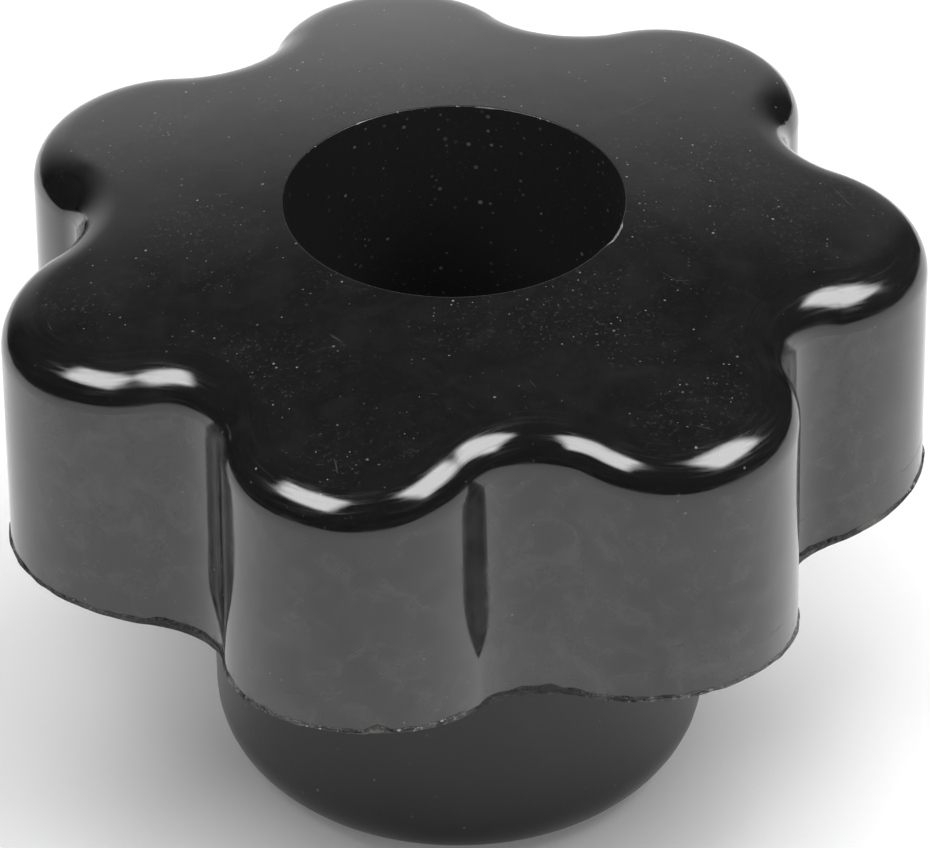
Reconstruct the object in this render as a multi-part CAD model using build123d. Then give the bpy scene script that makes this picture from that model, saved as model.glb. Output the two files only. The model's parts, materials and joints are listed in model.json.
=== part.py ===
"""Star knob: a seven-lobed head on a round hub, moulded in one piece and bored through.

The axis of the bore is Z, the foot of the hub stands at Z = 0, and one lobe points along +X.
The head is a drafted star between a crowned top and a coned underside. The hub stands below it.
"""
import math
import os

from build123d import *

# Head, seen from above, at the level of its lower edge (millimetres and degrees)
lobe_count = 7
tip_circle_diameter = 63.0     # round the lobe tips, over the parting land
flute_depth = 6.2055           # from the wall at a lobe tip in to the bottom of a flute
flute_radius = 4.725           # concave valley between two lobes

# Head, seen from the side
knob_height = 43.8             # foot of the hub to the middle of the crown
lower_edge_height = 23.5       # foot of the hub to the lower edge at a lobe tip
wall_draft = 0.9               # the walls lean inwards all round, for the mould
crown_rise = 2.7               # the crown falls this far from its middle to the tip circle
top_edge_radius = 3.15         # rounding between the crown and the walls
underside_slope = 15.5         # the underside falls towards the hub at this angle

# Parting land: the trimmed line of flash round the lower edge
land_height = 0.6
land_proud = 0.2

# Hub and bore
hub_diameter = 33.7
hub_foot_radius = 4.6          # rounding round the foot of the hub
bore_diameter = 22.4

# Sizes that follow from those above
half_pitch = math.pi / lobe_count
tip_radius = tip_circle_diameter / 2
wall_tip_radius = tip_radius - land_proud
wall_root_radius = wall_tip_radius - flute_depth
draft_gradient = math.tan(math.radians(wall_draft))
underside_gradient = math.tan(math.radians(underside_slope))
crown_radius = (tip_radius ** 2 + crown_rise ** 2) / (2 * crown_rise)
blank_margin = 3.0             # the star and the blank overrun each other by this before they are cut


def polar(radius, angle):
    """Point at a distance from the axis and an angle in radians from +X."""
    return (radius * math.cos(angle), radius * math.sin(angle))


def star_wire(tip, root, flute):
    """Closed outline of tangent arcs: a convex nose on every lobe, a concave flute between them.

    The nose is centred on the lobe's own line and the flute on the line between two lobes. The
    nose's radius is the one at which the two arcs touch, and they meet on the line of centres.
    """
    flute_centre = root + flute
    reach = tip - flute_centre * math.cos(half_pitch)
    squares = tip ** 2 + flute_centre ** 2 - flute ** 2
    nose = (squares - 2 * tip * flute_centre * math.cos(half_pitch)) / (2 * (flute + reach))
    nose_centre = tip - nose
    share = nose / (nose + flute)
    flute_x, flute_y = polar(flute_centre, half_pitch)
    touch_x = nose_centre + share * (flute_x - nose_centre)
    touch_y = share * flute_y
    touch_radius = math.hypot(touch_x, touch_y)
    touch_angle = math.atan2(touch_y, touch_x)
    arcs = []
    for lobe in range(lobe_count):
        middle = 2 * half_pitch * lobe
        before = polar(touch_radius, middle - touch_angle)
        after = polar(touch_radius, middle + touch_angle)
        following = polar(touch_radius, middle + 2 * half_pitch - touch_angle)
        arcs.append(ThreePointArc(before, polar(tip, middle), after))
        arcs.append(ThreePointArc(after, polar(root, middle + half_pitch), following))
    return Wire(arcs)


def star_prism(low, high, proud=0.0):
    """Drafted star from one height to another, with its outline moved outwards by proud."""
    spread = proud + (lower_edge_height - low) * draft_gradient
    outline = star_wire(wall_tip_radius + spread, wall_root_radius + spread, flute_radius - spread)
    return extrude(Pos(0, 0, low) * Face(outline), high - low, taper=wall_draft)


def underside_height(radius):
    """Height of the coned underside at a distance from the axis."""
    return lower_edge_height - underside_gradient * (tip_radius - radius)


def head_blank():
    """Round blank with the crown on top and the coned underside below."""
    outer = tip_radius + blank_margin
    crown_centre = knob_height - crown_radius
    crown_edge = crown_centre + math.sqrt(crown_radius ** 2 - outer ** 2)
    middle_angle = math.asin(outer / crown_radius) / 2
    crown_middle = (crown_radius * math.sin(middle_angle),
                    crown_centre + crown_radius * math.cos(middle_angle))
    profile = Wire([
        Line((0, underside_height(0)), (outer, underside_height(outer))),
        Line((outer, underside_height(outer)), (outer, crown_edge)),
        ThreePointArc((outer, crown_edge), crown_middle, (0, knob_height)),
        Line((0, knob_height), (0, underside_height(0))),
    ])
    return revolve(Plane.XZ * Face(profile), Axis.Z)


def star_head():
    """The star cut from the blank, with its top edge rounded."""
    low = underside_height(0) - blank_margin
    head = star_prism(low, knob_height + blank_margin) & head_blank()
    crown = head.faces().sort_by(Axis.Z)[-1]
    return fillet(crown.edges(), top_edge_radius)


def parting_land():
    """Thin rib that follows the lower edge all round."""
    blank = head_blank()
    raised = Pos(0, 0, land_height) * blank
    low = underside_height(0) - blank_margin
    return (star_prism(low, knob_height + blank_margin, land_proud) & blank) - raised


def hub():
    """Round hub from its foot up into the head, with a rounded foot."""
    post = extrude(Circle(hub_diameter / 2), knob_height - top_edge_radius - crown_rise)
    return fillet(post.edges().sort_by(Axis.Z)[0], hub_foot_radius)


def star_knob():
    """The whole knob as one solid."""
    bore = extrude(Circle(bore_diameter / 2), knob_height + blank_margin)
    return star_head() + parting_land() + hub() - bore


os.makedirs("parts", exist_ok=True)
export_step(star_knob(), "parts/star_knob.step")
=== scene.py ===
# %% [markdown]
# # A moulded star knob
# A star knob is a handle for a clamp or a machine: seven rounded lobes that the fingers pull on,
# a crowned top, and a round hub that stands on the work. This one is black phenolic, pressed in a
# polished mould, so it is one piece and nearly everything that we see of it is a reflection.
# The lesson loads the engineering model as a fixed frame, wraps one finer surface round it, and
# then spends its care on gloss, dust, wear and light.

# %% Load the frame
import json
import math

import bpy
import numpy as np
from mathutils import Matrix, Vector


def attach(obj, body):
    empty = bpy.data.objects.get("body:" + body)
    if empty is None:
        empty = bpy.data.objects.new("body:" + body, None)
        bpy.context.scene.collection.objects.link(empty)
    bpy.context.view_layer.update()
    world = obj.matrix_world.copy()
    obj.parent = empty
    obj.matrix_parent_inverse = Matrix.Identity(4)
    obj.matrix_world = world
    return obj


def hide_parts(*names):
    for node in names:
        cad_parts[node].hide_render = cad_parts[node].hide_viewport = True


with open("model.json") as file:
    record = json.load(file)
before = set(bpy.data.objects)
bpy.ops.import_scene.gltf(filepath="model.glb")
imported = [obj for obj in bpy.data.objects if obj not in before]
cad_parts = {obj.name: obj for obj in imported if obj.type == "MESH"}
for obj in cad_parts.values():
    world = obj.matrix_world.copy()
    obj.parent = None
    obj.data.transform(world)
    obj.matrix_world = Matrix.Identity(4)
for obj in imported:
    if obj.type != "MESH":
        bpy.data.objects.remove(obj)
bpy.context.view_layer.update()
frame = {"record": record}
mm = 0.001

# %% [markdown]
# ## Sizes
# The knob is worked out in millimetres and turned into metres when the mesh is made. The bore's
# size is read from the frame, because other parts depend on it. The rest are the sizes of the
# engineering model: the circle round the lobe tips, the depth and radius of the flutes, the height
# of the crown and of the lower edge. The last three belong to the finer surface alone: a small
# hollow under the head, a worn rim on the bore and a touch of chamfer at its foot.

# %% Sizes of the knob
bore_radius = frame["record"]["mounts"][0]["dims"]["r_mm"]
lobe_count = 7
tip_radius = 31.5
land_proud = 0.2
land_height = 0.6
flute_depth = 6.2055
flute_radius = 4.725
knob_height = 43.8
lower_edge_height = 23.5
wall_draft = math.radians(0.9)
crown_rise = 2.7
top_edge_radius = 3.15
underside_slope = math.radians(15.5)
hub_radius = 16.85
hub_foot_radius = 4.6
hub_root_radius = 0.5
rim_radius = 0.05
bore_foot_chamfer = 0.2

half_pitch = math.pi / lobe_count
wall_tip_radius = tip_radius - land_proud
crown_radius = (tip_radius ** 2 + crown_rise ** 2) / (2 * crown_rise)
crown_centre = knob_height - crown_radius
print("crown is part of a sphere of radius", round(crown_radius, 1), "mm")

# %% [markdown]
# ## Camera
# A star seen at an angle gives the camera away: the lobes' spacing gives the direction, and the
# way that the far lobes shrink gives the distance. The camera looks down at about thirty-six
# degrees through a long lens, and is rolled by less than a degree.

# %% Camera
image_width = 931
view_azimuth = math.radians(-87.03)
view_elevation = math.radians(36.085)
view_distance = 367.7
view_roll = math.radians(-0.62)
aim_right = 0.579
aim_height = 25.27
focal_pixels = 5466

away = Vector((math.cos(view_azimuth) * math.cos(view_elevation),
               math.sin(view_azimuth) * math.cos(view_elevation),
               math.sin(view_elevation)))
level_right = Vector((-math.sin(view_azimuth), math.cos(view_azimuth), 0))
level_up = away.cross(level_right)
aim = level_right * aim_right + Vector((0, 0, aim_height))
right = level_right * math.cos(view_roll) + level_up * math.sin(view_roll)
up = level_up * math.cos(view_roll) - level_right * math.sin(view_roll)
camera_data = bpy.data.cameras.new("studio_camera")
camera_data.sensor_fit = "HORIZONTAL"
camera_data.lens = focal_pixels * camera_data.sensor_width / image_width
camera_data.clip_start = 0.01
camera = bpy.data.objects.new("studio_camera", camera_data)
bpy.context.scene.collection.objects.link(camera)
turn = Matrix((right, up, away)).transposed().to_4x4()
camera.matrix_world = Matrix.Translation((aim + away * view_distance) * mm) @ turn
bpy.context.scene.camera = camera
bpy.context.scene.view_settings.view_transform = "Standard"
print("lens", round(camera_data.lens, 1), "mm at", round(view_distance), "mm")

# %% [markdown]
# ## The outline of the star
# Seen from above, the star is made of tangent arcs: a convex nose on each lobe and a concave flute
# between two lobes. Where two arcs touch, they share a normal, so one list of normals describes
# them both, and moving the whole outline in or out is just a step along those normals. That one
# fact gives us the drafted walls, the rounded top edge and the flash with no further geometry.

# %% Outline with its normals
nose_columns = 100
flute_columns = 56


def star_outline():
    """Points and outward normals of the star at its lower edge, going round once.

    A nose is centre + radius * (cos a, sin a). A flute is centre - radius * (cos a, sin a), with
    its centre outside the star, so a is the direction of the outward normal on both. It sweeps up
    over the nose and back over the flute.
    """
    root = wall_tip_radius - flute_depth
    flute_centre = root + flute_radius
    reach = wall_tip_radius - flute_centre * math.cos(half_pitch)
    squares = wall_tip_radius ** 2 + flute_centre ** 2 - flute_radius ** 2
    cross = 2 * wall_tip_radius * flute_centre * math.cos(half_pitch)
    nose_radius = (squares - cross) / (2 * (flute_radius + reach))
    nose_centre = wall_tip_radius - nose_radius
    flute_x = flute_centre * math.cos(half_pitch)
    flute_y = flute_centre * math.sin(half_pitch)
    swing = math.atan2(flute_y, flute_x - nose_centre)
    over_nose = np.linspace(-swing, swing, nose_columns, endpoint=False)
    over_flute = np.linspace(swing, 2 * half_pitch - swing, flute_columns, endpoint=False)
    x = np.concatenate([nose_centre + nose_radius * np.cos(over_nose),
                        flute_x - flute_radius * np.cos(over_flute)])
    y = np.concatenate([nose_radius * np.sin(over_nose),
                        flute_y - flute_radius * np.sin(over_flute)])
    facing = np.concatenate([over_nose, over_flute])
    turns = 2 * half_pitch * np.arange(lobe_count)[:, None]
    spin_x = x * np.cos(turns) - y * np.sin(turns)
    spin_y = x * np.sin(turns) + y * np.cos(turns)
    facing = (facing + turns).ravel()
    points = np.stack([spin_x.ravel(), spin_y.ravel()], axis=-1)
    return points, np.stack([np.cos(facing), np.sin(facing)], axis=-1)


outline, normals = star_outline()
columns = len(outline)
step_lengths = np.linalg.norm(np.roll(outline, -1, axis=0) - outline, axis=1)
around = np.concatenate([[0], np.cumsum(step_lengths)])
print("outline:", columns, "columns,", round(around[-1], 1), "mm round")

# %% [markdown]
# ## Rings and rows
# The whole knob is one grid that closes on itself both ways, like the skin of a ring: columns go
# round the axis, and rows go out over the crown, down the wall, in under the head, down the hub
# and back up inside the bore. Each stretch below is a stack of rings of the same length.

# %% Helpers for stacks of rings
def ring(points, height):
    """One ring: the plan points with a height, which may change round the ring."""
    return np.column_stack([points, np.broadcast_to(height, columns)])


def between(first, last, count):
    """Rings evenly spaced from the first to the last, leaving the last one out."""
    share = np.linspace(0, 1, count, endpoint=False)[:, None, None]
    return first * (1 - share) + last * share


def wall_plan(height):
    """Plan of the drafted wall at a height: the outline moved in as the wall climbs."""
    climb = (height - lower_edge_height) * math.tan(wall_draft)
    return outline - normals * np.broadcast_to(climb, columns)[:, None]


def crown_height(radius):
    """Height of the spherical crown at a distance from the axis."""
    return crown_centre + np.sqrt(crown_radius ** 2 - radius ** 2)


def underside_height(radius):
    """Height of the coned underside at a distance from the axis."""
    return lower_edge_height - math.tan(underside_slope) * (tip_radius - radius)


def circle_plan(radius, angles):
    """Plan of a circle about the axis."""
    radius = np.broadcast_to(radius, columns)
    return np.stack([radius * np.cos(angles), radius * np.sin(angles)], axis=-1)


# %% [markdown]
# ## The rounded top edge
# The edge between crown and wall is the path of a ball that rolls round inside the star and
# touches both. Its centre lies one ball radius inside the wall and one inside the crown's sphere.
# The height that satisfies both is found by stepping a few times for all the columns at once, and
# the arc from the wall's normal to the crown's normal is an even turn between the two directions.

# %% Top edge as a rolling ball
edge_rows = 14


def rolling_ball():
    """Ball centre for each column, with the directions in which it touches wall and crown."""
    height = np.full(columns, knob_height - crown_rise - top_edge_radius)
    for _ in range(30):
        inset = top_edge_radius / math.cos(wall_draft)
        plan = wall_plan(height) - normals * inset
        reach = crown_radius - top_edge_radius
        height = crown_centre + np.sqrt(reach ** 2 - (plan ** 2).sum(axis=1))
    centre = np.column_stack([plan, height])
    to_wall = np.column_stack([normals * math.cos(wall_draft),
                               np.full(columns, math.sin(wall_draft))])
    to_crown = centre - np.array([0, 0, crown_centre])
    to_crown /= np.linalg.norm(to_crown, axis=1, keepdims=True)
    return centre, to_wall, to_crown


ball_centre, to_wall, to_crown = rolling_ball()
opening = np.arccos((to_wall * to_crown).sum(axis=1))[:, None]
share = np.linspace(0, 1, edge_rows, endpoint=False)[:, None, None]
toward = (np.sin((1 - share) * opening) * to_crown + np.sin(share * opening) * to_wall)
top_edge = ball_centre + top_edge_radius * toward / np.sin(opening)
edge_top = ball_centre + top_edge_radius * to_crown
edge_foot = ball_centre + top_edge_radius * to_wall
print("top edge turns through", round(math.degrees(opening.mean())), "degrees")

# %% [markdown]
# ## Rim and crown
# The crown follows its sphere from the top edge in to the rim of the bore, which is worn, and
# chipped in a few places. A flat face beside a rounding would be shaded as if it were bent, so a
# close second ring is set beside the edge to keep it flat.

# %% Rim of the bore and crown
crown_rows = 16
rim_rows = 5
guard = 0.08
chip_bearing = math.radians(-19)
chip_half_width = math.radians(11)
chip_depth = 0.3
small_chips_from = 0.6       # radians from +X: the small chips lie on the far side of the bore


def ragged(seed, pitch, low, high):
    """Smooth random value round the outline: random numbers a pitch apart, eased between."""
    count = int(around[-1] / pitch)
    values = np.random.default_rng(seed).uniform(low, high, count)
    place = around[:-1] / around[-1] * count
    base = np.floor(place).astype(int)
    ease = place - base
    ease = ease * ease * (3 - 2 * ease)
    return values[base % count] * (1 - ease) + values[(base + 1) % count] * ease


def hump(position, middle, half_width):
    """Smooth hump from 0 to 1 and back, round the middle."""
    near = np.clip(1 - np.abs(position - middle) / half_width, 0, 1)
    return near * near * (3 - 2 * near)


angle = np.arctan2(edge_top[:, 1], edge_top[:, 0])
chipped = hump(angle, chip_bearing, chip_half_width) * ragged(21, 0.8, 0.5, 1.0)
small_chips = 0.5 * np.clip(ragged(22, 1.1, -2.0, 0.6), 0, 1) * (angle > small_chips_from)
chipped = np.maximum(chipped, small_chips)
rim_size = rim_radius + chip_depth * chipped
rim_turn = np.linspace(0, math.pi / 2, rim_rows, endpoint=False)[:, None]
rim_reach = bore_radius + rim_size * (1 - np.cos(rim_turn))
rim_rise = crown_height(bore_radius + rim_size) - rim_size * (1 - np.sin(rim_turn))
rim = np.stack([rim_reach * np.cos(angle), rim_reach * np.sin(angle), rim_rise], axis=-1)
rim_outer = circle_plan(bore_radius + rim_size, angle)
rim_guard = circle_plan(bore_radius + rim_size + guard, angle)
crown = between(ring(rim_guard, 0), edge_top * np.array([1, 1, 0]), crown_rows)
crown = np.concatenate([ring(rim_outer, 0)[None], crown])
crown[..., 2] = crown_height(np.linalg.norm(crown[..., :2], axis=-1))
print("rim and crown:", len(rim) + len(crown), "rows")

# %% [markdown]
# ## Walls and flash
# At the bottom of the walls the two halves of the mould met, and the thin fin of material that
# squeezed out was trimmed by hand. What is left is a narrow proud line with a ragged top. It flares
# towards its lower edge on the lobes, and hangs out over itself, thicker, in the flutes. One lobe
# has a nick above it.

# %% Walls and the flash along the parting line
wall_rows = 12
nick_lobe = 5
nick_offset = 3.4            # from the middle of the lobe, going round
nick_half_width = 1.1
nick_height = 0.45
nick_dent = 0.8              # as a share of the parting land
fray = 0.07

in_flute = 1 - (np.linalg.norm(outline, axis=1) - wall_tip_radius + flute_depth) / flute_depth
lower_edge = underside_height(np.linalg.norm(outline, axis=1))
lobe_middle = around[nick_lobe * (nose_columns + flute_columns) + nose_columns // 2]
nick = hump(around[:-1], lobe_middle + nick_offset, nick_half_width)
line_height = land_height * (ragged(3, 1.7, 0.3, 0.7) + in_flute * ragged(4, 0.9, 0.5, 1.0))
line_height += fray * ragged(9, 0.5, -1.0, 1.0) + nick_height * nick
line_top = lower_edge + line_height
wall_foot = ring(wall_plan(line_top), line_top)
wall_guard = ring(wall_plan(line_top + guard), line_top + guard)
wall = np.concatenate([between(edge_foot, wall_guard, wall_rows), wall_guard[None]])
top_share = ragged(5, 0.6, 0.0, 0.5) * (1 - in_flute) + ragged(10, 0.8, 0.6, 1.0) * in_flute
low_share = ragged(8, 0.8, 0.5, 1.0) * (1 - in_flute) + ragged(11, 0.8, -0.2, 0.4) * in_flute
middle_share = 0.5 * (top_share + low_share) + ragged(7, 0.5, -0.45, 0.1) - nick_dent * nick


def line_ring(share, height):
    """Ring of the parting line, standing proud of the wall by a share of the full land."""
    plan = wall_plan(height) + normals * (land_proud * share)[:, None]
    return ring(plan, height)


line_upper = line_ring(top_share - nick_dent * nick,
                       line_top - line_height * ragged(6, 0.5, 0.08, 0.3))
line_mid = line_ring(middle_share, lower_edge + line_height * ragged(12, 0.5, 0.35, 0.55))
line_lower = line_ring(low_share, lower_edge + 0.12)
line_inner_plan = wall_plan(lower_edge) - normals * 0.1
line_inner = ring(line_inner_plan, underside_height(np.linalg.norm(line_inner_plan, axis=1)))
parting = np.concatenate([between(wall_foot, line_upper, 3), between(line_upper, line_mid, 3),
                          between(line_mid, line_lower, 3), between(line_lower, line_inner, 2)])
print("walls and flash:", len(wall) + len(parting), "rows")

# %% [markdown]
# ## Underside, hub and bore
# None of this shows much in a picture from above, but a knob gets turned over in the hand. The
# underside is a shallow cone, the hub a plain round post with a generous rounding at its foot, and
# the bore goes straight through.

# %% Underside, hub and bore
underside_rows, root_rows, hub_rows, foot_rows, bore_rows = 6, 4, 4, 10, 3
root_radius = hub_radius + hub_root_radius
root_outer = circle_plan(root_radius, angle)
underside_foot = ring(root_outer, underside_height(root_radius))
underside = between(line_inner, underside_foot, underside_rows)
root_turn = np.linspace(math.pi / 2, 0, root_rows, endpoint=False)[:, None]
root_reach = root_radius - hub_root_radius * np.cos(root_turn) * np.ones(columns)
root_rise = underside_height(root_radius) - hub_root_radius * (1 - np.sin(root_turn))
root = np.stack([root_reach * np.cos(angle), root_reach * np.sin(angle),
                 root_rise * np.ones(columns)], axis=-1)
hub_top = ring(circle_plan(hub_radius, angle), underside_height(root_radius) - hub_root_radius)
hub_low = ring(circle_plan(hub_radius, angle), hub_foot_radius)
hub = between(hub_top, hub_low, hub_rows)
foot_turn = np.linspace(0, math.pi / 2, foot_rows, endpoint=False)[:, None]
foot_reach = (hub_radius - hub_foot_radius * (1 - np.cos(foot_turn))) * np.ones(columns)
foot_rise = hub_foot_radius * (1 - np.sin(foot_turn)) * np.ones(columns)
foot = np.stack([foot_reach * np.cos(angle), foot_reach * np.sin(angle), foot_rise], axis=-1)
foot_ring = ring(circle_plan(hub_radius - hub_foot_radius, angle), 0)
bore_edge = ring(circle_plan(bore_radius + bore_foot_chamfer, angle), 0)
bore_low = ring(circle_plan(bore_radius, angle), bore_foot_chamfer)
bore_high = rim[0]
foot_face = between(foot_ring, bore_edge, 2)
bore_chamfer = between(bore_edge, bore_low, 2)
bore = between(bore_low, bore_high, bore_rows)
print("bore radius from the frame:", bore_radius, "mm")

# %% [markdown]
# ## One closed skin
# The stacks are joined into one array of points, and every face is found from the same small
# sum on whole arrays: the point, its neighbour in the row, and the two below. Each stretch gets
# the material of its zone. A map goes into the mesh too, for marks that follow the surface: it runs
# round the outline, and down the rows from nought at the foot of the wall. Two more marks say how
# deep in a flute each column lies and where the rim of the bore is chipped.

# %% Build the mesh
zones = [("rim", rim), ("gloss", crown), ("edge", top_edge), ("wall", wall), ("trim", parting),
         ("satin", underside), ("satin", root), ("satin", hub), ("satin", foot),
         ("satin", foot_face), ("satin", bore_chamfer), ("bore", bore)]
finish_names = ["rim", "gloss", "edge", "wall", "trim", "satin", "bore"]
rows_above_line = len(rim) + len(crown) + len(top_edge) + len(wall)


def closed_skin(name, zones):
    """Mesh of a grid that closes both ways, with a material number for each row of faces."""
    points = np.concatenate([stack for _, stack in zones])
    rows = len(points)
    row = np.arange(rows)[:, None]
    column = np.arange(columns)[None, :]
    below = (row + 1) % rows
    beside = (column + 1) % columns
    corners = np.stack([row * columns + column, below * columns + column,
                        below * columns + beside, row * columns + beside], axis=-1).reshape(-1, 4)
    mesh = bpy.data.meshes.new(name)
    mesh.vertices.add(rows * columns)
    mesh.vertices.foreach_set("co", (points * mm).astype(np.float32).ravel())
    mesh.loops.add(corners.size)
    mesh.loops.foreach_set("vertex_index", corners.astype(np.int32).ravel())
    mesh.polygons.add(len(corners))
    mesh.polygons.foreach_set("loop_start", np.arange(0, corners.size, 4, dtype=np.int32))
    numbers = np.concatenate([np.full(len(stack), finish_names.index(zone)) for zone, stack in zones])
    mesh.polygons.foreach_set("material_index", np.repeat(numbers, columns).astype(np.int32))
    down = np.linalg.norm(np.roll(points, -1, axis=0) - points, axis=-1).mean(axis=1)
    down = np.concatenate([[0], np.cumsum(down)])
    down -= down[rows_above_line]
    u_left = np.broadcast_to(around[:-1], (rows, columns))
    u_right = np.broadcast_to(around[1:], (rows, columns))
    v_top = np.broadcast_to(down[:-1, None], (rows, columns))
    v_low = np.broadcast_to(down[1:, None], (rows, columns))
    skin_map = np.stack([u_left, v_top, u_left, v_low, u_right, v_low, u_right, v_top], axis=-1)
    layer = mesh.uv_layers.new(name="skin")
    layer.data.foreach_set("uv", (skin_map * mm).astype(np.float32).ravel())
    for label, values in (("flute", in_flute), ("chip", chipped)):
        mark = mesh.attributes.new(label, "FLOAT", "POINT")
        mark.data.foreach_set("value", np.tile(values, rows).astype(np.float32))
    mesh.update(calc_edges=True)
    mesh.validate()
    mesh.polygons.foreach_set("use_smooth", np.ones(len(corners), dtype=bool))
    return mesh


def volume_of(mesh):
    """Volume inside a closed mesh of quads, positive when its faces point outwards."""
    points = np.empty(len(mesh.vertices) * 3)
    mesh.vertices.foreach_get("co", points)
    points = points.reshape(-1, 3)
    corners = np.empty(len(mesh.polygons) * 4, dtype=np.int64)
    mesh.loops.foreach_get("vertex_index", corners)
    a, b, c, d = np.moveaxis(points[corners.reshape(-1, 4)], 1, 0)
    return ((a * np.cross(b, c)).sum() + (a * np.cross(c, d)).sum()) / 6


skin = closed_skin("knob_skin", zones)
knob = bpy.data.objects.new("knob_skin", skin)
bpy.context.scene.collection.objects.link(knob)
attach(knob, "root")
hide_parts("star_knob")
print("skin:", len(skin.polygons), "faces, volume", round(volume_of(skin) * 1e6, 2), "cubic cm")

# %% [markdown]
# ## Marks that several finishes share
# Dust, smears and fine waviness lie over the whole knob, so each is built once as a node group
# and placed in every finish with its own values. A group puts out only a mask or a height, and the
# shader that uses it stays in the material.

# %% Node helpers
def group_with(name, inputs, outputs):
    """Empty node group with named float inputs, given as (name, value), and float outputs."""
    group = bpy.data.node_groups.new(name, "ShaderNodeTree")
    for label, value in inputs:
        socket = group.interface.new_socket(label, in_out="INPUT", socket_type="NodeSocketFloat")
        socket.default_value = value
    for label in outputs:
        group.interface.new_socket(label, in_out="OUTPUT", socket_type="NodeSocketFloat")
    return group, group.nodes.new("NodeGroupInput"), group.nodes.new("NodeGroupOutput")


def add_node(tree, kind, **settings):
    """New node with its settings."""
    node = tree.nodes.new(kind)
    for key, value in settings.items():
        setattr(node, key, value)
    return node


def math_node(tree, operation, first, second=None):
    """Math node whose inputs are sockets or numbers, and its result."""
    node = add_node(tree, "ShaderNodeMath", operation=operation)
    for index, value in enumerate((first, second)):
        if isinstance(value, (int, float)):
            node.inputs[index].default_value = value
        elif value is not None:
            tree.links.new(value, node.inputs[index])
    return node.outputs[0]


def ramp(tree, value, low, high, start=0.0, end=1.0):
    """Smooth step: start below low, end above high."""
    node = add_node(tree, "ShaderNodeMapRange", interpolation_type="SMOOTHSTEP")
    tree.links.new(value, node.inputs["Value"])
    node.inputs["From Min"].default_value = low
    node.inputs["From Max"].default_value = high
    node.inputs["To Min"].default_value = start
    node.inputs["To Max"].default_value = end
    return node.outputs["Result"]


def noise(tree, vector, scale, detail=3.0, roughness=0.5, distortion=0.0):
    """Noise over a position, with its scale in cycles per metre."""
    node = add_node(tree, "ShaderNodeTexNoise")
    tree.links.new(vector, node.inputs["Vector"])
    node.inputs["Scale"].default_value = scale
    node.inputs["Detail"].default_value = detail
    node.inputs["Roughness"].default_value = roughness
    node.inputs["Distortion"].default_value = distortion
    return node.outputs["Fac"]


# %% Dust, smears, hairlines, streaks and waviness
def object_place(group):
    """Position on the object, in metres."""
    return add_node(group, "ShaderNodeTexCoord").outputs["Object"]


def dust_group():
    """Specks and powder.

    A speck is the heart of a random cell, kept where the cell's own number is low and dust lies.
    Powder is fine noise over the same places.
    """
    group, source, sink = group_with("dust", [("Scale", 1000.0), ("Share", 0.3), ("Size", 0.07),
                                              ("Powder", 0.1)], ["Mask"])
    place = object_place(group)
    jitter = add_node(group, "ShaderNodeTexNoise")
    group.links.new(place, jitter.inputs["Vector"])
    jitter.inputs["Scale"].default_value = 9000.0
    shaken = add_node(group, "ShaderNodeVectorMath", operation="MULTIPLY_ADD")
    group.links.new(jitter.outputs["Color"], shaken.inputs[0])
    shaken.inputs[1].default_value = (0.00006, 0.00006, 0.00006)
    group.links.new(place, shaken.inputs[2])
    cells = add_node(group, "ShaderNodeTexVoronoi", feature="F1")
    group.links.new(shaken.outputs[0], cells.inputs["Vector"])
    group.links.new(source.outputs["Scale"], cells.inputs["Scale"])
    split = add_node(group, "ShaderNodeSeparateColor")
    group.links.new(cells.outputs["Color"], split.inputs["Color"])
    lying = ramp(group, noise(group, place, 120.0, 3.0), 0.42, 0.62, 0.25, 1.0)
    kept = math_node(group, "MULTIPLY", source.outputs["Share"], lying)
    kept = math_node(group, "LESS_THAN", split.outputs["Red"], kept)
    size = math_node(group, "POWER", split.outputs["Green"], 3.0)
    size = math_node(group, "ADD", math_node(group, "MULTIPLY", size, 1.5), 0.6)
    size = math_node(group, "MULTIPLY", size, source.outputs["Size"])
    inside = math_node(group, "DIVIDE", cells.outputs["Distance"], size)
    inside = ramp(group, inside, 0.5, 1.3, 1.0, 0.0)
    bright = math_node(group, "POWER", split.outputs["Blue"], 3.0)
    bright = math_node(group, "ADD", math_node(group, "MULTIPLY", bright, 0.75), 0.12)
    mask = math_node(group, "MULTIPLY", math_node(group, "MULTIPLY", kept, inside), bright)
    powder = ramp(group, noise(group, place, 3200.0, 4.0, 0.7), 0.52, 0.8)
    powder = math_node(group, "MULTIPLY", math_node(group, "MULTIPLY", powder, lying),
                       source.outputs["Powder"])
    group.links.new(math_node(group, "MAXIMUM", mask, powder), sink.inputs["Mask"])
    return group


def smear_group():
    """Smears: broad soft noise broken up by a finer one."""
    group, source, sink = group_with("smears", [("Scale", 60.0)], ["Mask"])
    place = object_place(group)
    broad = add_node(group, "ShaderNodeTexNoise")
    group.links.new(place, broad.inputs["Vector"])
    group.links.new(source.outputs["Scale"], broad.inputs["Scale"])
    broad.inputs["Detail"].default_value = 7.0
    broad.inputs["Roughness"].default_value = 0.62
    broad.inputs["Distortion"].default_value = 0.8
    group.links.new(ramp(group, broad.outputs["Fac"], 0.38, 0.72), sink.inputs["Mask"])
    return group


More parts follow.
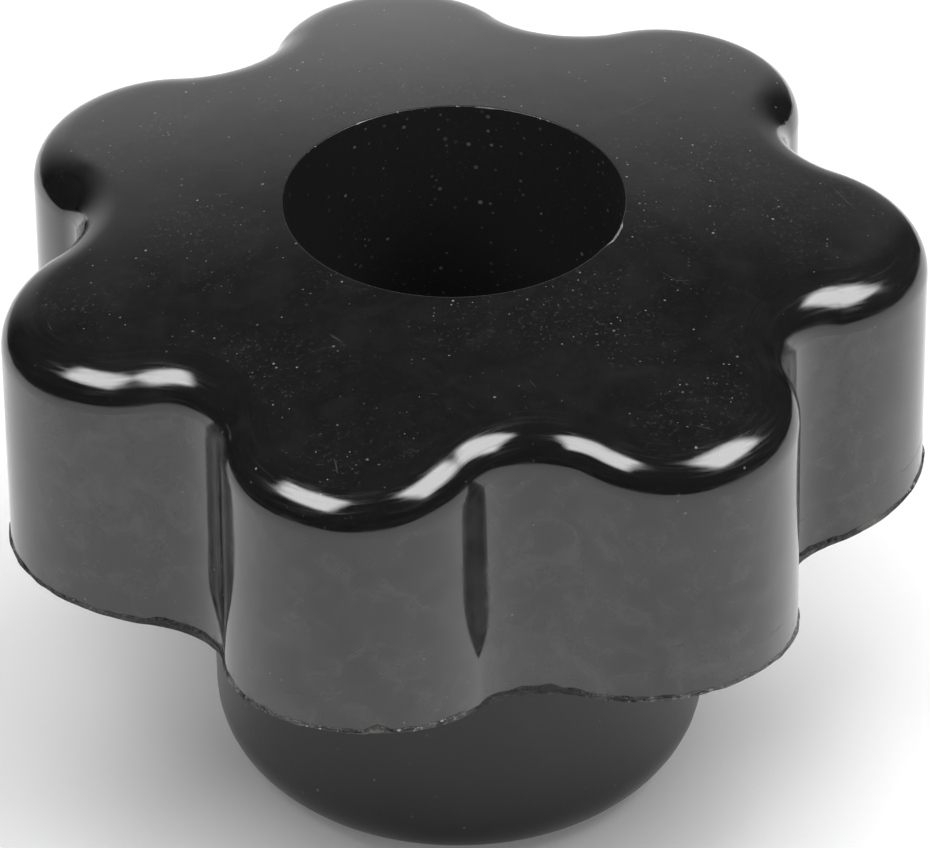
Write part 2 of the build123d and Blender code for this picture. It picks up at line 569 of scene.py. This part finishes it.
def hairline_group():
    """Hairlines: the thin borders between bent cells, shown only here and there."""
    group, source, sink = group_with("hairlines", [("Scale", 90.0), ("Width", 0.0025)], ["Mask"])
    place = object_place(group)
    bend = add_node(group, "ShaderNodeTexNoise")
    group.links.new(place, bend.inputs["Vector"])
    bend.inputs["Scale"].default_value = 60.0
    bent = add_node(group, "ShaderNodeVectorMath", operation="MULTIPLY_ADD")
    group.links.new(bend.outputs["Color"], bent.inputs[0])
    bent.inputs[1].default_value = (0.008, 0.008, 0.008)
    group.links.new(place, bent.inputs[2])
    cells = add_node(group, "ShaderNodeTexVoronoi", feature="DISTANCE_TO_EDGE")
    group.links.new(bent.outputs[0], cells.inputs["Vector"])
    group.links.new(source.outputs["Scale"], cells.inputs["Scale"])
    thin = math_node(group, "LESS_THAN", cells.outputs["Distance"], source.outputs["Width"])
    here = ramp(group, noise(group, place, 300.0, 4.0), 0.58, 0.68)
    group.links.new(math_node(group, "MULTIPLY", thin, here), sink.inputs["Mask"])
    return group


def streak_group():
    """Streaks that follow the surface round: noise on the skin map, long round and short down."""
    group, source, sink = group_with("streaks", [("Length", 250.0), ("Fineness", 3500.0)], ["Mask"])
    flat = add_node(group, "ShaderNodeUVMap", uv_map="skin")
    parts = add_node(group, "ShaderNodeSeparateXYZ")
    group.links.new(flat.outputs["UV"], parts.inputs["Vector"])
    stretched = add_node(group, "ShaderNodeCombineXYZ")
    for label, gain in (("X", "Length"), ("Y", "Fineness")):
        scaled = math_node(group, "MULTIPLY", parts.outputs[label], source.outputs[gain])
        group.links.new(scaled, stretched.inputs[label])
    lines = noise(group, stretched.outputs[0], 1.0, 5.0, 0.6, 0.4)
    group.links.new(ramp(group, lines, 0.4, 0.7), sink.inputs["Mask"])
    return group


def wave_group():
    """Waviness of a polished moulding: long soft ripples with a little finer grain on them."""
    group, source, sink = group_with("waviness", [("Ripple", 1.0), ("Grain", 1.0)], ["Height"])
    place = object_place(group)
    ripple = math_node(group, "MULTIPLY", noise(group, place, 260.0, 3.0), source.outputs["Ripple"])
    grain = math_node(group, "MULTIPLY", noise(group, place, 2200.0, 3.0), source.outputs["Grain"])
    group.links.new(math_node(group, "ADD", ripple, grain), sink.inputs["Height"])
    return group


dust = dust_group()
smears = smear_group()
hairlines = hairline_group()
streaks = streak_group()
waviness = wave_group()
print("shared marks:", [group.name for group in (dust, smears, hairlines, streaks, waviness)])

# %% [markdown]
# ## Finishes
# Phenolic bends light more than most plastics, so its clear reflections are a little stronger. The
# black itself gives almost nothing back. Where the mould was polished, on the crown and its edge,
# the room shows clearly through a thin film of dust and smears. The walls were drawn past the
# mould and are mottled. The hub is duller, the trimmed line is torn resin, with painted shade that
# darkens it deep in the flutes, and the wall of the bore was never polished at all.

# %% Finishes
phenolic_ior = 1.62
satin_ior = 1.5


def place_group(tree, group, **values):
    """A shared group placed in a material with its own values."""
    node = add_node(tree, "ShaderNodeGroup", node_tree=group)
    for key, value in values.items():
        node.inputs[key].default_value = value
    return node.outputs[0]


def phenolic(name, black, film, dust_values, gloss_values, relief_values, film_share,
             hair_gain=0.0, ior=phenolic_ior):
    """Black phenolic: a plain shader whose colour, roughness and bump take the shared marks.

    The three lists are: dust scale, share, size and powder; plain roughness with what smears and
    streaks add; and the depth of the relief with the share of fine grain.
    """
    material = bpy.data.materials.new(name)
    material.use_nodes = True
    tree = material.node_tree
    shader = tree.nodes["Principled BSDF"]
    shader.inputs["IOR"].default_value = ior
    specks = place_group(tree, dust, **dict(zip(("Scale", "Share", "Size", "Powder"), dust_values)))
    haze = place_group(tree, smears, Scale=70.0)
    fine_haze = place_group(tree, smears, Scale=420.0)
    scratches = math_node(tree, "MULTIPLY", place_group(tree, hairlines), hair_gain)
    drawn = place_group(tree, streaks)
    roughness, smear_gain, streak_gain = gloss_values
    relief_depth, grain = relief_values
    waves = place_group(tree, waviness, Ripple=1.0, Grain=grain)
    veil = math_node(tree, "MULTIPLY", math_node(tree, "ADD", haze, fine_haze), 0.5 * film_share)
    veil = math_node(tree, "MAXIMUM", math_node(tree, "MAXIMUM", veil, scratches), specks)
    tint = add_node(tree, "ShaderNodeMix", data_type="RGBA", name="tint")
    tint.inputs["A"].default_value = (*black, 1)
    tint.inputs["B"].default_value = (*film, 1)
    tree.links.new(veil, tint.inputs["Factor"])
    tree.links.new(tint.outputs["Result"], shader.inputs["Base Color"])
    dull = math_node(tree, "MULTIPLY", haze, smear_gain)
    dull = math_node(tree, "ADD", dull, math_node(tree, "MULTIPLY", drawn, streak_gain))
    dull = math_node(tree, "ADD", dull, roughness)
    marks = math_node(tree, "MULTIPLY", math_node(tree, "MAXIMUM", specks, scratches), 0.6)
    tree.links.new(math_node(tree, "MAXIMUM", dull, marks), shader.inputs["Roughness"])
    relief = add_node(tree, "ShaderNodeBump")
    relief.inputs["Distance"].default_value = relief_depth * mm
    tree.links.new(waves, relief.inputs["Height"])
    tree.links.new(relief.outputs["Normal"], shader.inputs["Normal"])
    return material


resin = (0.008, 0.008, 0.0082)
grey_dust = (0.22, 0.22, 0.215)
finishes = {
    "rim": phenolic("chipped_rim", resin, (0.5, 0.5, 0.49), (4500.0, 0.9, 0.3, 0.9),
                    (0.25, 0.3, 0.0), (0.02, 0.5), 0.9),
    "gloss": phenolic("polished_crown", resin, grey_dust, (2600.0, 0.9, 0.12, 0.20),
                      (0.08, 0.08, 0.0), (0.012, 0.05), 0.035, hair_gain=0.15),
    "edge": phenolic("polished_edge", resin, grey_dust, (2000.0, 0.5, 0.1, 0.08),
                     (0.07, 0.05, 0.16), (0.016, 0.06), 0.02),
    "wall": phenolic("mottled_wall", resin, grey_dust, (1500.0, 0.6, 0.08, 0.10),
                     (0.06, 0.08, 0.06), (0.02, 0.05), 0.20),
    "trim": phenolic("trimmed_line", (0.003, 0.003, 0.003), (0.6, 0.59, 0.57),
                     (3600.0, 1.2, 0.38, 1.0), (0.4, 0.3, 0.0), (0.2, 2.0), 0.35),
    "satin": phenolic("dull_phenolic", (0.004, 0.004, 0.0042), grey_dust,
                      (1200.0, 0.5, 0.08, 0.03), (0.28, 0.10, 0.0), (0.03, 0.3), 0.015,
                      ior=satin_ior),
    "bore": phenolic("bore_wall", (0.002, 0.002, 0.002), grey_dust,
                     (1700.0, 1.3, 0.13, 0.05), (0.8, 0.1, 0.0), (0.03, 1.0), 0.0),
}
for finish_name, level in (("bore", 0.15), ("trim", 0.22)):
    shader = finishes[finish_name].node_tree.nodes["Principled BSDF"]
    shader.inputs["Specular IOR Level"].default_value = level

# %% Worn foot of the wall, light film that comes and goes with chips, and painted shade on the trimmed line in the flutes
def worn_foot(material, line_rise, band, gain):
    """Mottle the wall near its foot and draw a faint wandering line a little way up it."""
    tree = material.node_tree
    shader = tree.nodes["Principled BSDF"]
    flat = add_node(tree, "ShaderNodeUVMap", uv_map="skin")
    parts = add_node(tree, "ShaderNodeSeparateXYZ")
    tree.links.new(flat.outputs["UV"], parts.inputs["Vector"])
    place = add_node(tree, "ShaderNodeTexCoord").outputs["Object"]
    wander = math_node(tree, "MULTIPLY", noise(tree, place, 90.0, 3.0), 2.4 * mm)
    rise = math_node(tree, "SUBTRACT", 0.0, parts.outputs["Y"])
    offset = math_node(tree, "SUBTRACT", math_node(tree, "ADD", rise, wander), line_rise * mm)
    line = ramp(tree, math_node(tree, "ABSOLUTE", offset), 0.03 * mm, 0.22 * mm, 1.0, 0.0)
    shown = ramp(tree, noise(tree, place, 150.0, 2.0), 0.45, 0.6)
    line = math_node(tree, "MULTIPLY", line, shown)
    near = ramp(tree, math_node(tree, "ADD", rise, wander), 0.5 * mm, band * mm, 1.0, 0.0)
    blotch = ramp(tree, noise(tree, place, 900.0, 4.0, 0.65), 0.45, 0.75)
    worn = math_node(tree, "MAXIMUM", math_node(tree, "MULTIPLY", near, blotch),
                     math_node(tree, "MULTIPLY", line, 0.8))
    old = shader.inputs["Roughness"].links[0].from_socket
    tree.links.new(math_node(tree, "ADD", old, math_node(tree, "MULTIPLY", worn, gain)),
                   shader.inputs["Roughness"])


worn_foot(finishes["wall"], line_rise=3.4, band=4.5, gain=0.30)


def film_by_wear_and_painted_shade(material, label, low, high, start, end):
    """Let the light film of a finish come and go with one of the marks on the mesh: real wear where
    the rim is chipped, painted shade where the trimmed line lies deep in a flute.
    """
    tree = material.node_tree
    tint = tree.nodes["tint"]
    mark = add_node(tree, "ShaderNodeAttribute", attribute_name=label).outputs["Fac"]
    old = tint.inputs["Factor"].links[0].from_socket
    tree.links.new(math_node(tree, "MULTIPLY", old, ramp(tree, mark, low, high, start, end)),
                   tint.inputs["Factor"])


# Painted shade: the trimmed line keeps few of its light specks deep in the flutes, where it hangs out
# and faces down into shadow.
film_by_wear_and_painted_shade(finishes["trim"], "flute", low=0.35, high=0.8, start=1.0, end=0.15)
film_by_wear_and_painted_shade(finishes["rim"], "chip", low=0.1, high=0.5, start=0.0, end=1.0)

for finish_name in finish_names:
    skin.materials.append(finishes[finish_name])
print("finishes:", [material.name for material in skin.materials])

# %% [markdown]
# ## Studio
# Black gloss shows its room, so the room is rebuilt from the reflections. Each bright or dark
# patch on a surface whose tilt is known says what stands in the direction that the surface mirrors.
# Read that way, the knob stood near the left and front edges of a white table in a dark room, with
# a soft glow behind it and two large softboxes, one high at the front left and one at the right.
# The room and the glow are kept from the camera, so that other views look past them. Two more
# lamps, which no reflection shows, light the table and the dust.

# %% Floor and the table's edge
floor_reach = 1500.0
floor_white = 0.9
floor_lift = 0.1
table_left, table_right = 150.0, 320.0
table_front, table_back = 165.0, 190.0
table_squareness = 7.0
room_reach = 1100.0
room_foot = 0.2
room_grey = 0.02


def plain_material(name, colour, roughness=0.9):
    """Even, unpolished stage material."""
    material = bpy.data.materials.new(name)
    material.use_nodes = True
    shader = material.node_tree.nodes["Principled BSDF"]
    shader.inputs["Base Color"].default_value = (*colour, 1)
    shader.inputs["Roughness"].default_value = roughness
    shader.inputs["Specular IOR Level"].default_value = 0.0
    return material


def open_skin(name, points, material):
    """Mesh of an open grid of points, as rows of columns."""
    rows, width = points.shape[:2]
    row = np.arange(rows - 1)[:, None]
    column = np.arange(width - 1)[None, :]
    corner = row * width + column
    corners = np.stack([corner, corner + 1, corner + width + 1, corner + width], axis=-1)
    mesh = bpy.data.meshes.new(name)
    mesh.from_pydata((points.reshape(-1, 3) * mm).tolist(), [], corners.reshape(-1, 4).tolist())
    mesh.polygons.foreach_set("use_smooth", np.ones(len(mesh.polygons), dtype=bool))
    mesh.materials.append(material)
    piece = bpy.data.objects.new(name, mesh)
    bpy.context.scene.collection.objects.link(piece)
    return piece


def table_edge(angles):
    """Distance of the table's edge: a rounded rectangle, one over the p-norm of cos / a, sin / b."""
    across = np.where(np.cos(angles) > 0, table_right, table_left)
    along = np.where(np.sin(angles) > 0, table_back, table_front)
    norm = np.abs(np.cos(angles) / across) ** table_squareness
    norm += np.abs(np.sin(angles) / along) ** table_squareness
    return norm ** (-1 / table_squareness)


sides = np.array([-floor_reach, floor_reach])
floor_points = np.stack([*np.meshgrid(sides, sides), np.zeros((2, 2))], axis=-1)
floor_material = plain_material("pale_floor", (floor_white,) * 3)
open_skin("floor", floor_points, floor_material)


def seen_directly(tree):
    """One for rays from the camera and for mirrored or passed-through rays, and nought otherwise."""
    path = add_node(tree, "ShaderNodeLightPath")
    shown = math_node(tree, "MAXIMUM", path.outputs["Is Camera Ray"], path.outputs["Is Glossy Ray"])
    return math_node(tree, "MAXIMUM", shown, path.outputs["Is Transmission Ray"])


floor_tree = floor_material.node_tree
floor_shader = floor_tree.nodes["Principled BSDF"]
floor_shader.inputs["Emission Color"].default_value = (1, 1, 1, 1)
floor_tree.links.new(math_node(floor_tree, "MULTIPLY", seen_directly(floor_tree), floor_lift),
                     floor_shader.inputs["Emission Strength"])

turn_angles = np.linspace(0, 2 * math.pi, 145)
climb_angles = np.linspace(0, math.pi / 2, 17)[:, None]
room_radii = np.concatenate([[table_edge(turn_angles)],
                             room_reach * np.cos(climb_angles) * np.ones(len(turn_angles))])
room_heights = room_foot + room_reach * np.sin(np.concatenate([[0], climb_angles[:, 0]]))
room_points = np.stack([room_radii * np.cos(turn_angles), room_radii * np.sin(turn_angles),
                        room_heights[:, None] * np.ones(len(turn_angles))], axis=-1)
room = open_skin("dark_room", room_points, plain_material("dark_room", (room_grey,) * 3))
room.visible_camera = False
room.visible_shadow = False
room.visible_diffuse = False
print("table edge between", round(room_radii[0].min()), "and", round(room_radii[0].max()), "mm")

# %% Glow behind the table
glow_distance = 200.0
glow_height = 240.0
glow_strength = 1.17
glow_bearing = math.radians(101)
glow_half_angle = math.radians(55)
glow_full_aside, glow_gone_aside = math.radians(4), math.radians(52)
glow_full_up, glow_gone_up = 60.0, 215.0
glow_angles = glow_bearing + np.linspace(-glow_half_angle, glow_half_angle, 49)
glow_heights = np.linspace(0.3, glow_height, 9)
glow_points = np.stack([glow_distance * np.cos(glow_angles) * np.ones((9, 1)),
                        glow_distance * np.sin(glow_angles) * np.ones((9, 1)),
                        glow_heights[:, None] * np.ones(49)], axis=-1)
glow_material = bpy.data.materials.new("glow_behind")
glow_material.use_nodes = True
glow_tree = glow_material.node_tree
place = add_node(glow_tree, "ShaderNodeTexCoord").outputs["Object"]
parts = add_node(glow_tree, "ShaderNodeSeparateXYZ")
glow_tree.links.new(place, parts.inputs["Vector"])
bearing = math_node(glow_tree, "ARCTAN2", parts.outputs["Y"], parts.outputs["X"])
aside = math_node(glow_tree, "ABSOLUTE", math_node(glow_tree, "SUBTRACT", bearing, glow_bearing))
sideways = ramp(glow_tree, aside, glow_full_aside, glow_gone_aside, glow_strength, 0.0)
upwards = ramp(glow_tree, parts.outputs["Z"], glow_full_up * mm, glow_gone_up * mm, 1.0, 0.0)
light = add_node(glow_tree, "ShaderNodeEmission")
glow_tree.links.new(math_node(glow_tree, "MULTIPLY", sideways, upwards), light.inputs["Strength"])
glow_tree.links.new(light.outputs[0], glow_tree.nodes["Material Output"].inputs["Surface"])
glow = open_skin("backdrop", glow_points, glow_material)
glow.visible_camera = False
glow.visible_diffuse = False
glow.visible_shadow = False
print("glow is", glow_height, "mm high at", glow_distance, "mm")

# %% Softboxes
light_distance = 700.0
edge_fade = 0.42


def fade_edges(data):
    """Dim a lamp smoothly towards its edges, by its own two parameters from 0 to 1."""
    data.use_nodes = True
    tree = data.node_tree
    spot = add_node(tree, "ShaderNodeNewGeometry").outputs["Parametric"]
    parts = add_node(tree, "ShaderNodeSeparateXYZ")
    tree.links.new(spot, parts.inputs["Vector"])
    sides = []
    for label in ("X", "Y"):
        doubled = math_node(tree, "MULTIPLY", parts.outputs[label], 2.0)
        offset = math_node(tree, "ABSOLUTE", math_node(tree, "SUBTRACT", doubled, 1.0))
        sides.append(ramp(tree, offset, 1 - edge_fade, 1.0, 1.0, 0.0))
    strength = math_node(tree, "MULTIPLY", *sides)
    tree.links.new(strength, tree.nodes["Emission"].inputs["Strength"])


def softbox(name, azimuth, elevation, width, height, radiance, roll=0.0, distance=light_distance):
    """Square light that faces the knob, with its brightness given as radiance."""
    data = bpy.data.lights.new(name, "AREA")
    data.shape = "RECTANGLE"
    data.size = 2 * distance * math.tan(math.radians(width) / 2) * mm
    data.size_y = 2 * distance * math.tan(math.radians(height) / 2) * mm
    data.energy = radiance * data.size * data.size_y * math.pi
    lamp = bpy.data.objects.new(name, data)
    bpy.context.scene.collection.objects.link(lamp)
    bearing = math.radians(azimuth)
    climb = math.radians(elevation)
    outward = Vector((math.cos(bearing) * math.cos(climb), math.sin(bearing) * math.cos(climb),
                      math.sin(climb)))
    side = Vector((-math.sin(bearing), math.cos(bearing), 0))
    top = outward.cross(side)
    across = side * math.cos(roll) + top * math.sin(roll)
    along = top * math.cos(roll) - side * math.sin(roll)
    pose = Matrix((across, along, outward)).transposed().to_4x4()
    lamp.matrix_world = Matrix.Translation(outward * distance * mm) @ pose
    lamp.visible_camera = False
    return lamp


shine = 10.5
soft_width, soft_height = 46.0, 34.0
for name, azimuth, elevation, width, height, roll in (("left", -133.5, 45.5, 49.0, 34.0, -0.06),
                                                      ("right", -20.0, 47.5, 47.0, 37.0, 0.16)):
    gloss_lamp = softbox(name + "_shine", azimuth, elevation, width, height, shine, roll)
    gloss_lamp.visible_diffuse = False
    fade_edges(gloss_lamp.data)
for name, azimuth, elevation, radiance, distance in (("left", -133.5, 74.0, 3.7, light_distance),
                                                     ("right", 5.0, 66.0, 4.1, 300.0)):
    plain_lamp = softbox(name + "_soft", azimuth, elevation, soft_width, soft_height, radiance,
                         distance=distance)
    plain_lamp.visible_glossy = False
print("softboxes at", light_distance, "mm")

# %% World
world_light = 0.3
world = bpy.data.worlds.new("studio")
world.use_nodes = True
bpy.context.scene.world = world
backing = world.node_tree.nodes["Background"]
shown = seen_directly(world.node_tree)
backing.inputs["Color"].default_value = (1, 1, 1, 1)
world.node_tree.links.new(math_node(world.node_tree, "MAXIMUM", shown, world_light),
                          backing.inputs["Strength"])
